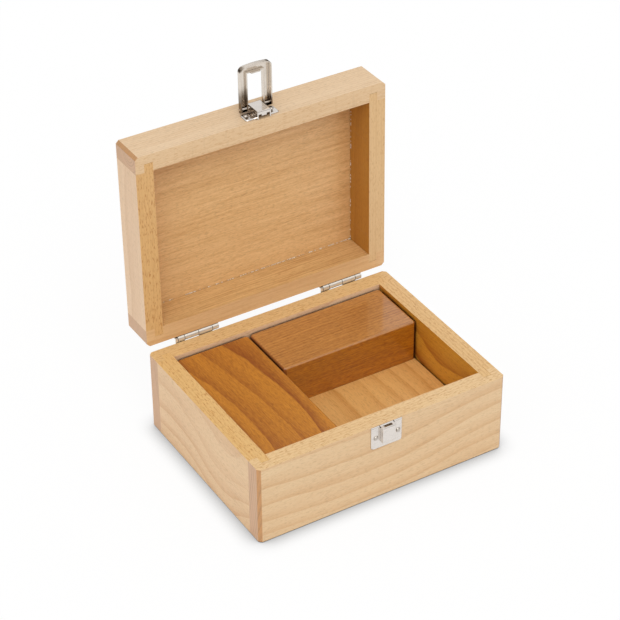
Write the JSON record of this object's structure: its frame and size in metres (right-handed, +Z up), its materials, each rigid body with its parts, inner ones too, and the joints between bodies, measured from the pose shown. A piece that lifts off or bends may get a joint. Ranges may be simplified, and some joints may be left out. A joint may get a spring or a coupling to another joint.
{
  "type": "weight set case",
  "caption": "Wooden case for a set of weights, with a hinged lid that stands open on hinge stops, a nickel hasp latch and loose inner blocks.",
  "frame": {"origin": "middle of the base's underside, on the surface that the case stands on", "axes": "+Z up, front of the case towards -Y, +X to the right seen from the front"},
  "size_m": [0.18, 0.1728, 0.235],
  "materials": {
    "beech": "satin varnish over planed pale beech",
    "panel_beech": "satin varnish over thin beech panel",
    "floor_beech": "satin varnish over planed beech",
    "steamed_beech": "satin varnish over brown steamed beech",
    "nickel": "bright nickel plate on pressed steel"
  },
  "bodies": {
    "base": {"base_front_board": "beech", "base_back_board": "beech", "base_left_board": "beech", "base_right_board": "beech", "bottom_panel": "panel_beech", "floor_board": "floor_beech", "left_hinge_base_leaf": "nickel", "left_hinge_pin": "nickel", "right_hinge_base_leaf": "nickel", "right_hinge_pin": "nickel", "base_hinge_tacks": "nickel", "catch_plate": "nickel", "catch_tacks": "nickel"},
    "lid": {"lid_front_board": "beech", "lid_back_board": "beech", "lid_left_board": "beech", "lid_right_board": "beech", "lid_panel": "panel_beech", "lid_hinge_tacks": "nickel", "latch_plate": "nickel", "latch_tacks": "nickel", "hasp_pin": "nickel", "left_hinge_lid_leaf": "nickel", "right_hinge_lid_leaf": "nickel"},
    "hasp": {"hasp_frame": "nickel"},
    "left_block": {"left_block": "steamed_beech"},
    "rear_block": {"rear_block": "steamed_beech"}
  },
  "joints": [
    {"name": "lid_hinge", "type": "hinge", "parent": "base", "child": "lid", "pos_m": [0, 0.0725, 0.0586], "axis": [-1, 0, 0], "range_deg": [-90.7, 0]},
    {"name": "hasp_pivot", "type": "hinge", "parent": "lid", "child": "hasp", "pos_m": [0.001, 0.08449, 0.20476], "axis": [-1, 0, 0], "range_deg": [-90, 85]},
    {"name": "left_block_lift", "type": "slide", "parent": "base", "child": "left_block", "axis": [0, 0, 1], "range_m": [0, 0.024]},
    {"name": "rear_block_lift", "type": "slide", "parent": "base", "child": "rear_block", "axis": [0, 0, 1], "range_m": [0, 0.024]}
  ]
}
